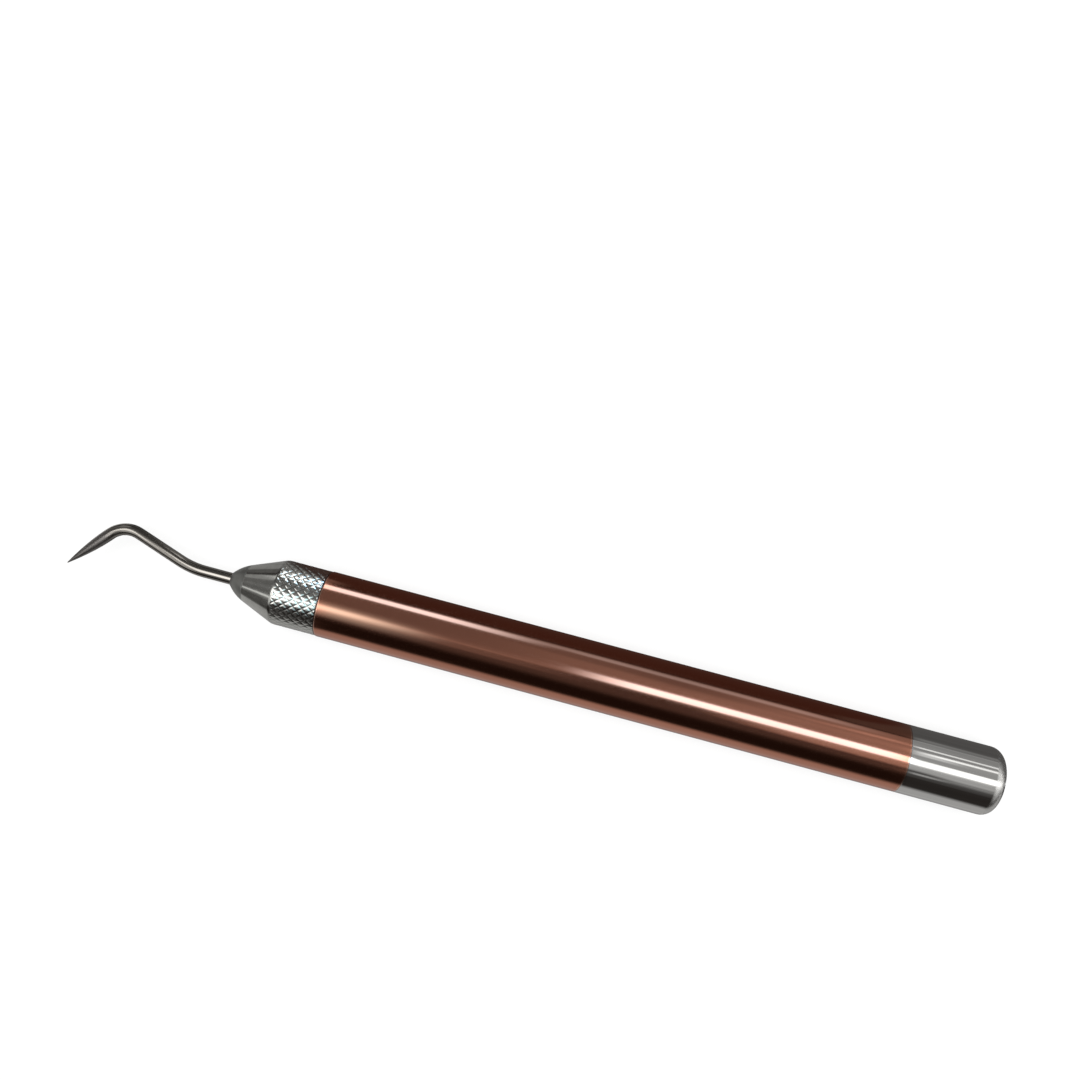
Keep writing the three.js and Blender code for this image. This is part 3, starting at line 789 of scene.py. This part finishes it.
def collet_jaw(quarter, outline, bore):
    """One jaw: a ring sector between two slits with parallel walls. Its section at each X is a loop of
    the outer arc, one wall, the inner arc and the other wall; a wall stands half a slit's width off
    its slit's middle, so an arc of radius r stops asin(half width / r) short of it."""
    share = np.linspace(-1, 1, 13)
    wall = np.linspace(0, 1, 5)[1:-1]
    x, outer = outline[:, :1], outline[:, 1:]
    inner = np.full_like(outer, bore)

    def arc(radius, shares):
        limit = np.pi / 4 - np.arcsin(np.clip(SLIT_WIDTH / 2 / radius, 0, 1))
        return np.broadcast_arrays(radius, limit * shares)

    outer_radius, outer_angle = arc(outer, share[None])
    wall_radius, wall_angle = arc(outer + (inner - outer) * wall, np.ones((1, len(wall))))
    inner_radius, inner_angle = arc(inner, share[None, ::-1])
    radius = np.concatenate(
        [outer_radius, wall_radius, inner_radius, wall_radius[:, ::-1]], axis=1)
    angle = np.concatenate(
        [outer_angle, wall_angle, inner_angle, -wall_angle[:, ::-1]], axis=1)
    # Both end rows close on the middle of the section, a little short of the walls.
    middle = (outer + inner) / 2
    radius[[0, -1]] = middle[[0, -1]]
    angle[[0, -1]] *= 0.9
    points = turned(np.broadcast_to(x, radius.shape), radius, angle + (quarter + 0.5) * np.pi / 2)
    return skin("collet_jaw", points)


def collet(size):
    """The collet: a plain tail, a closed outline turned about the axis, and four jaws with a shoulder
    and a cone."""
    wire = size["wire_diameter"] / 2
    bore, cone = wire + SLIDING_GAP, wire + 4 * LOOSE_GAP - SEAT_GAP
    shoulder = STUB_LENGTH + SEAT_GAP
    jaw_start = shoulder + COLLET_SHOULDER_LENGTH
    tip = cone + (CONE_FRONT - COLLET_LENGTH) * CONE_SLOPE
    thick = min(COLLET_SHOULDER_RADIUS, cone + (CONE_FRONT - jaw_start) * CONE_SLOPE)
    # The jaws start a little way inside the tail and its skin.
    overlap, inset = 0.05, 0.01
    tail = softened(
        [[ahead(0), bore], [ahead(0), COLLET_TAIL_RADIUS],
         [ahead(-COLLET_TAIL_DEPTH), COLLET_TAIL_RADIUS], [ahead(-COLLET_TAIL_DEPTH), bore]],
        [0.01, 0.01, 0.15, 0.08], steps=4, closed=True)
    outside = softened(
        [[ahead(-overlap), COLLET_TAIL_RADIUS - inset], [ahead(shoulder), COLLET_TAIL_RADIUS],
         [ahead(shoulder), COLLET_SHOULDER_RADIUS - SEAT_GAP], [ahead(jaw_start), thick],
         [ahead(COLLET_LENGTH), tip], [ahead(COLLET_LENGTH), bore + 0.06]],
        [0, 0.05, 0.12, 0.1, 0.12, 0], steps=4)
    outside = np.concatenate([outside[:1], outside, outside[-1:]])
    jaws = [collet_jaw(quarter, outside, bore) for quarter in range(4)]
    tail_mesh = skin("collet_tail", turned(*around(tail, THREAD_SIDES)), closed=True)
    return joined("collet", [tail_mesh, *jaws])


def seal_ring(size):
    """A torus: a circle of the seal's radius carried round the axis at the middle of the groove."""
    bore = size["barrel_diameter"] / 2 - size["barrel_wall"]
    middle = (bore - SEAL_DEPTH - LOOSE_GAP + bore) / 2
    turn = np.arange(32) / 32 * 2 * np.pi
    outline = np.stack([
        behind(-SEAL_START - LOOSE_GAP - SEAL_RADIUS) + SEAL_RADIUS * np.cos(turn),
        middle + SEAL_RADIUS * np.sin(turn)], axis=1)
    return skin("cap_seal", turned(*around(outline, SEAL_SIDES)), closed=True)


class WEEDER_OT_inside(bpy.types.Operator):
    """Adds the pieces inside: both brass inserts, the collet and the cap's rubber seal"""

    bl_idname = "weeder.inside"
    bl_label = "Add inner pieces"

    def execute(self, context):
        size = sizes()
        brass = turned_rings("turned_brass", "brass", 5.0, 0.16, 0.28)
        steel = turned_rings("turned_spring_steel", "collet", 6.0, 0.2, 0.32)
        place_piece("front_insert", chuck_insert(size), brass, "chuck_body")
        place_piece("rear_insert", tail_insert(size), brass, "tail_bush")
        place_piece("collet_jaws", collet(size), steel, "collet")
        place_piece("seal_ring", seal_ring(size), moulded_rubber(), "cap_seal")
        return {"FINISHED"}


# Stage

# What polished metal sees round it: a light tent of 60 mm radius about the tool, whose lamps and cards
# each reach from one place to another along X, in millimetres. One may lean, so its angle off the
# vertical, towards +Y, is given at both ends. Then come its half width and the width of its soft edge
# in degrees, how gradually it begins and ends along X, its brightness (1 is white) and its tint.
# The tints are gels that cover the barrel's stretch alone.
TENT_RADIUS = 60.0
TENT_CLOTH = (0.018, 0.014, 0.012)
GEL_START, GEL_END, GEL_EDGE = -46, 77.5, 3
PLEATS_START, PLEATS_END, PLEAT_WIDTH, PLEAT_DEPTH = -48, 6, 1.5, 3
PLEAT_DIMMING = 0.5
WHITE, COOL, TAN, WARM = (1, 1, 1), (0.6, 1, 1.35), (0.66, 1, 1.1), (1.9, 1, 0.8)
CARDS = (
    # The tent's grey roof, the lighter parts of it over the tail, and its dim lower side
    ((35, 35), 41, 4, (-104, 620), (10, 20), 0.12, WHITE),
    ((35, 35), 41, 4, (-57, 620), (6, 20), 0.08, WHITE),
    ((21, 21), 23, 10, (0, 620), (36, 20), 0.12, WHITE),
    ((55, 55), 21, 5, (42, 620), (30, 20), 0.12, WHITE),
    ((21, 21), 14, 8, (30, 620), (36, 20), 0.09, WHITE),
    ((-13, -13), 10, 6, (-57, 4), (6, 30), 0.12, WHITE),
    ((-18, -18), 22, 20, (-57, 620), (6, 20), 0.08, WHITE),
    # Strip lamp along the front, and its dim far end
    ((63.3, 63.3), 7.4, 4, (-59, -10), (3, 32), 3.3, COOL),
    ((68, 68), 5.5, 4, (0, 66), (32, 24), 0.5, COOL),
    ((50, 55), 3.5, 3, (60, 78), (40, 6), 0.42, WHITE),
    # Lamp over the nose, with its broad soft edge
    ((-8, -8), 7, 14, (-62, -31), (6, 28), 2.1, TAN),
    ((-12, -12), 18, 24, (-62, -31), (6, 28), 0.85, TAN),
    # What the knurl sees beside them
    ((-13, -13), 16, 10, (-66, -47), (6, 4), 0.2, WHITE),
    ((74, 74), 11, 6, (-61, -47), (3, 4), 1.0, WHITE),
    ((125, 125), 40, 12, (-64, -44), (6, 4), 0.17, WHITE),
    ((-70, -70), 18, 10, (-68, -47), (6, 4), 0.07, WHITE),
    # The same lamp further forward, where the wire sees it, and soft cards beyond
    ((-6, -6), 19, 14, (-79, -64), (5, 6), 3.6, WHITE),
    ((-14, -14), 38, 34, (-104, -64), (8, 6), 0.36, WHITE),
    ((-25, -25), 26, 20, (-106, -82), (8, 6), 0.75, WHITE),
    ((-2, -2), 15, 12, (-98.5, -91.5), (4, 3), 2.8, WHITE),
    ((140, 140), 27, 16, (-112, -73), (6, 3), 0.9, WHITE),
    ((30, 30), 26, 24, (-160, -96), (30, 16), 0.07, WHITE),
    ((62, 62), 40, 20, (-500, -165), (20, 12), 0.35, WHITE),
    # What the nose's cone and shoulder see
    ((-5, -5), 82, 6, (-160, -104), (16, 8), 0.09, WHITE),
    ((0, 0), 20, 16, (-160, -104), (16, 8), 0.05, WHITE),
    ((62, 62), 12, 8, (-160, -104), (16, 8), 0.22, WHITE),
    ((63, 63), 9, 6, (-119, -92), (4, 6), 0.5, WHITE),
    ((-31, -31), 5, 4, (-160, -104), (16, 8), 0.75, WHITE),
    ((-33, -33), 14, 10, (-160, -104), (16, 8), 0.12, WHITE),
    # Bright end of the tent, which only the walls of the knurl turn to
    ((-22, -22), 36, 16, (-500, -168), (20, 16), 0.45, WHITE),
    # Strip lamp over the tail, with a soft patch under it
    ((5.2, 7.4), 8.9, 4, (15, 79.5), (20, 1), 4.0, COOL),
    ((-12, -12), 8, 8, (46, 620), (30, 20), 0.42, WHITE),
    # What only the cap shows: the strip lamp's end, and thin lamps
    ((5.2, 5.2), 8, 6, (79.5, 620), (1, 20), 1.8, WHITE),
    ((53, 53), 2.4, 2.4, (80, 620), (2, 20), 0.9, WHITE),
    ((39, 39), 2.4, 2.4, (82, 620), (8, 20), 1.1, WHITE),
    ((33, 33), 5, 4, (80, 88), (2, 8), 0.4, WHITE),
    ((-31, -31), 2.5, 3, (80, 86), (2, 6), 0.35, WHITE),
    ((-24, -24), 6, 8, (86, 620), (8, 20), 0.18, WHITE),
    ((81, 81), 7, 6, (80, 620), (4, 20), 0.14, WHITE),
    ((-6, -6), 52, 44, (112, 620), (30, 20), 0.5, WHITE),
    ((-55, -55), 30, 6, (79.5, 620), (1, 20), 0.012, WHITE),
    # Floor: a grey card on one side, which the tool's own shadow ends, and a dark one on the other
    ((-103, -103), 14, 12, (-46, 600), (6, 20), 0.17, WHITE),
    ((-112, -112), 23, 18, (-46, 600), (6, 20), 0.3, WHITE),
    ((-116, -116), 24, 18, (-85, -46), (10, 6), 0.45, WHITE),
    ((-116, -116), 24, 18, (-600, -85), (20, 10), 0.6, WHITE),
    ((140, 140), 61, 4, (-42, 64), (6, 4), 0.03, WARM),
    ((140, 140), 60, 4, (64, 600), (4, 20), 0.09, WHITE),
    ((140, 140), 55, 12, (-600, -44), (20, 8), 0.12, WHITE),
    ((150, 150), 40, 20, (125, 600), (30, 20), 0.5, WHITE),
    ((-150, -150), 40, 20, (125, 600), (30, 20), 0.5, WHITE),
)


def brightness(angle, along, gelled):
    """Colour of the tent at an angle and a place along X. Each card adds its brightness times a smooth
    step at both its sides and at both its ends, and its tint where a gel hangs before it."""

    def smooth(value):
        """A step from 0 to 1 about 0, one wide: 3 v^2 - 2 v^3 of its share v."""
        value = np.clip(value + 0.5, 0, 1)
        return value * value * (3 - 2 * value)

    gel = smooth((along - GEL_START) / GEL_EDGE) * smooth((GEL_END - along) / GEL_EDGE)
    gel = (gelled * gel)[..., None]
    glow = np.full((*np.broadcast_shapes(angle.shape, along.shape), 3), TENT_CLOTH)
    for (first, last), half, soft, (low, high), (begins, ends), strength, tint in CARDS:
        middle = first + (last - first) * np.clip((along - low) / (high - low), 0, 1)
        across = smooth((half - np.abs(angle - middle)) / soft)
        lengthwise = smooth((along - low) / begins) * smooth((high - along) / ends)
        glow += (strength * across * lengthwise)[..., None] * (1 + (np.array(tint) - 1) * gel)
    return glow


def tent_rows():
    """The rows of the tent: each one's X, how far the tent hangs in there, whether gels tint it and the
    share of its light that it gives. Rows are 1 mm apart near the tool and wider past 200 mm. Over the
    nose and the front of the barrel the tent hangs in pleats: a plain, dimmer wall across X, and a
    slope back to full width. Only what looks towards the tail, such as the walls of the knurl, sees
    the plain walls."""
    ahead_of_pleats = (*np.linspace(-600, -205, 80), *np.arange(-200, PLEATS_START))
    past_pleats = (*np.arange(PLEATS_END + 1, 201), *np.linspace(205, 600, 80))
    pleats = [row for x in np.arange(PLEATS_START, PLEATS_END, PLEAT_WIDTH) for row in (
        (x, 0, 0, PLEAT_DIMMING), (x, PLEAT_DEPTH, 0, PLEAT_DIMMING),
        (x, PLEAT_DEPTH, 1, 1), (x + PLEAT_WIDTH, 0, 1, 1))]
    return np.array([
        *((x, 0, 1, 1) for x in ahead_of_pleats), *pleats, *((x, 0, 1, 1) for x in past_pleats)])


def light_tent():
    """The tent's mesh: an arch about the tool's axis, with points (x, r sin a, r cos a), that goes on
    along the floor to beneath the tool. Its points carry their colour."""
    rows = tent_rows()
    along, inset, gelled, share = (rows[:, i:i + 1] for i in range(4))
    radius = TENT_RADIUS - inset
    across = np.geomspace(TENT_RADIUS, 0.5, 60)
    below = 90 + np.degrees(np.arctan2(AXIS_HEIGHT, across))
    arch = np.linspace(-90, 90, 541)
    angle = np.concatenate([-below[::-1], arch, below])
    skirt = np.ones_like(along) * across
    low = np.full_like(skirt, 0.02)
    side = np.concatenate([-skirt[:, ::-1], radius * np.sin(np.radians(arch)), skirt], axis=1)
    height = np.concatenate([low, AXIS_HEIGHT + radius * np.cos(np.radians(arch)), low], axis=1)
    grid = np.stack(np.broadcast_arrays(along, side, height), axis=-1) / 1000
    glow = brightness(angle[None, :], along, gelled) * share[..., None]
    # Where only the colour changes from one row to the next, no face lies between them.
    cols = grid.shape[1]
    apart = np.flatnonzero(np.abs(np.diff(rows[:, :2], axis=0)).max(axis=1) > 0)
    i, j = np.meshgrid(apart, np.arange(cols - 1), indexing="ij")
    quads = np.stack([i * cols + j, i * cols + j + 1, (i + 1) * cols + j + 1,
                      (i + 1) * cols + j], axis=-1)
    mesh = bpy.data.meshes.new("reflected_cards")
    mesh.from_pydata(grid.reshape(-1, 3).tolist(), [], quads.reshape(-1, 4).tolist())
    layer = mesh.attributes.new("glow", "FLOAT_VECTOR", "POINT")
    layer.data.foreach_set("vector", glow.reshape(-1).astype(np.float32))
    return mesh


def seen_directly(tree):
    """1 for the camera and for rays that metal or glass passes on, and 0 for light that falls on the
    tool."""
    rays = add(tree, RAYS).outputs
    passed_on = add(tree, SUM, rays["Is Glossy Ray"], rays["Is Transmission Ray"])
    return add(tree, LOWER, 1.0, add(tree, SUM, rays["Is Camera Ray"], passed_on))


def pale_matt_floor():
    """Pale uncoated card, quite matt and faintly cloudy. Seen directly it is drawn three quarters of
    the way to white, and all the way further off. The rest keeps the tool's soft shadow."""
    base = chosen("floor")
    near, far, whitened_near = 150, 500, 0.75
    material, tree = new_material("pale_matt_floor")
    vector = place(tree)
    clouds = grain(tree, vector, (0.05, 0.05, 0.05))
    card = add(tree, SHADER, Roughness=0.9,
               Base_Color=add(tree, MIX_COLOURS, clouds, shaded(base, 0.99), base))
    white = add(tree, EMISSION, Color=(1, 1, 1, 1), Strength=1.0)
    away = add(tree, DISTANCE, vector)
    whitened = add(tree, PRODUCT, seen_directly(tree),
                   add(tree, SMOOTH_STEP, away, near, far, whitened_near, 1.0))
    add(tree, OUTPUT, add(tree, MIX_SHADERS, whitened, card, white))
    return material


def glowing_cloth():
    """The tent's lit cloth: it gives off the colour that its points carry."""
    material, tree = new_material("light_tent")
    glow = add(tree, ("ShaderNodeAttribute", {"attribute_name": "glow"})).outputs["Vector"]
    add(tree, OUTPUT, add(tree, EMISSION, Color=glow, Strength=1.0))
    return material


class WEEDER_OT_stage(bpy.types.Operator):
    """Adds the floor, the lamp, the cards that the metal reflects, and the camera"""

    bl_idname = "weeder.stage"
    bl_label = "Add stage"

    def execute(self, context):
        self.add_floor()
        self.add_cards()
        self.add_light()
        self.add_camera()
        return {"FINISHED"}

    def add_floor(self):
        """A sheet 6 m across, just under the tool."""
        mesh = bpy.data.meshes.new("floor")
        reach, low = 3.0, -0.00002
        mesh.from_pydata([(-reach, -reach, low), (reach, -reach, low), (reach, reach, low),
                          (-reach, reach, low)], [], [(0, 1, 2, 3)])
        mesh.materials.append(pale_matt_floor())
        floor = bpy.data.objects.new("floor", mesh)
        bpy.context.scene.collection.objects.link(floor)

    def add_cards(self):
        """The tent, which only the metal sees."""
        mesh = light_tent()
        mesh.materials.append(glowing_cloth())
        cards = bpy.data.objects.new("reflected_cards", mesh)
        bpy.context.scene.collection.objects.link(cards)
        cards.visible_camera = cards.visible_diffuse = cards.visible_shadow = False
        cards.visible_transmission = cards.visible_volume_scatter = False

    def add_light(self):
        """One wide soft lamp overhead, and an even white surround that lights at half its strength."""
        lamp = bpy.data.lights.new("soft_overhead", "AREA")
        lamp.shape, lamp.size, lamp.size_y, lamp.energy = "RECTANGLE", 1.2, 0.9, 14
        overhead = bpy.data.objects.new("soft_overhead", lamp)
        overhead.matrix_world = Matrix.Translation((-0.1, 0.12, 1.0))
        overhead.visible_glossy = False
        bpy.context.scene.collection.objects.link(overhead)
        world = bpy.data.worlds.new("even_surround")
        world.use_nodes = True
        tree = world.node_tree
        tree.nodes.clear()
        strength = add(tree, PRODUCT_PLUS, seen_directly(tree), 0.5, 0.5)
        add(tree, WORLD_OUTPUT, add(tree, BACKGROUND, Color=(1, 1, 1, 1), Strength=strength))
        bpy.context.scene.world = world

    def add_camera(self):
        """Looks down on the tool from 185 mm, turned 14.65 degrees, with a 52.2 degree view. The
        matrix's columns are the camera's right, up and back directions and its place, in metres."""
        picture_points, focal_points = 1080, 1102.98
        camera = bpy.data.cameras.new("camera")
        camera.sensor_width = 36
        camera.lens = camera.sensor_width * focal_points / picture_points
        camera.clip_start, camera.clip_end = 0.005, 50
        viewer = bpy.data.objects.new("camera", camera)
        viewer.matrix_world = Matrix((
            (0.96600, -0.25258, 0.05519, 0.00761),
            (0.25290, 0.96749, 0.00124, 0.01935),
            (-0.05371, 0.01276, 0.99847, 0.18518),
            (0, 0, 0, 1)))
        bpy.context.scene.collection.objects.link(viewer)
        bpy.context.scene.camera = viewer
        bpy.context.scene.view_settings.view_transform = "Standard"


class WEEDER_PT_panel(bpy.types.Panel):
    """Sizes, finishes and pieces of the weeding tool"""

    bl_label = "Weeding tool"
    bl_idname = "WEEDER_PT_panel"
    bl_space_type = "VIEW_3D"
    bl_region_type = "UI"
    bl_category = "Weeding tool"

    def draw(self, context):
        for group, kind in ((context.scene.weeder_sizes, WeederSizes),
                            (context.scene.weeder_finishes, WeederFinishes)):
            box = self.layout.box()
            for name in kind.__annotations__:
                box.prop(group, name)
        for operator in OPERATORS:
            self.layout.operator(operator.bl_idname)


OPERATORS = (WEEDER_OT_barrel, WEEDER_OT_nose, WEEDER_OT_pick, WEEDER_OT_cap, WEEDER_OT_inside,
             WEEDER_OT_stage)
CLASSES = (WeederSizes, WeederFinishes, *OPERATORS, WEEDER_PT_panel)


def register():
    for kind in CLASSES:
        bpy.utils.register_class(kind)
    bpy.types.Scene.weeder_sizes = bpy.props.PointerProperty(type=WeederSizes)
    bpy.types.Scene.weeder_finishes = bpy.props.PointerProperty(type=WeederFinishes)


def unregister():
    del bpy.types.Scene.weeder_finishes
    del bpy.types.Scene.weeder_sizes
    for kind in reversed(CLASSES):
        bpy.utils.unregister_class(kind)


def main():
    """Builds every piece and the stage."""
    register()
    bpy.ops.weeder.barrel()
    bpy.ops.weeder.nose()
    bpy.ops.weeder.pick()
    bpy.ops.weeder.cap()
    bpy.ops.weeder.inside()
    bpy.ops.weeder.stage()


if __name__ == "__main__":
    main()
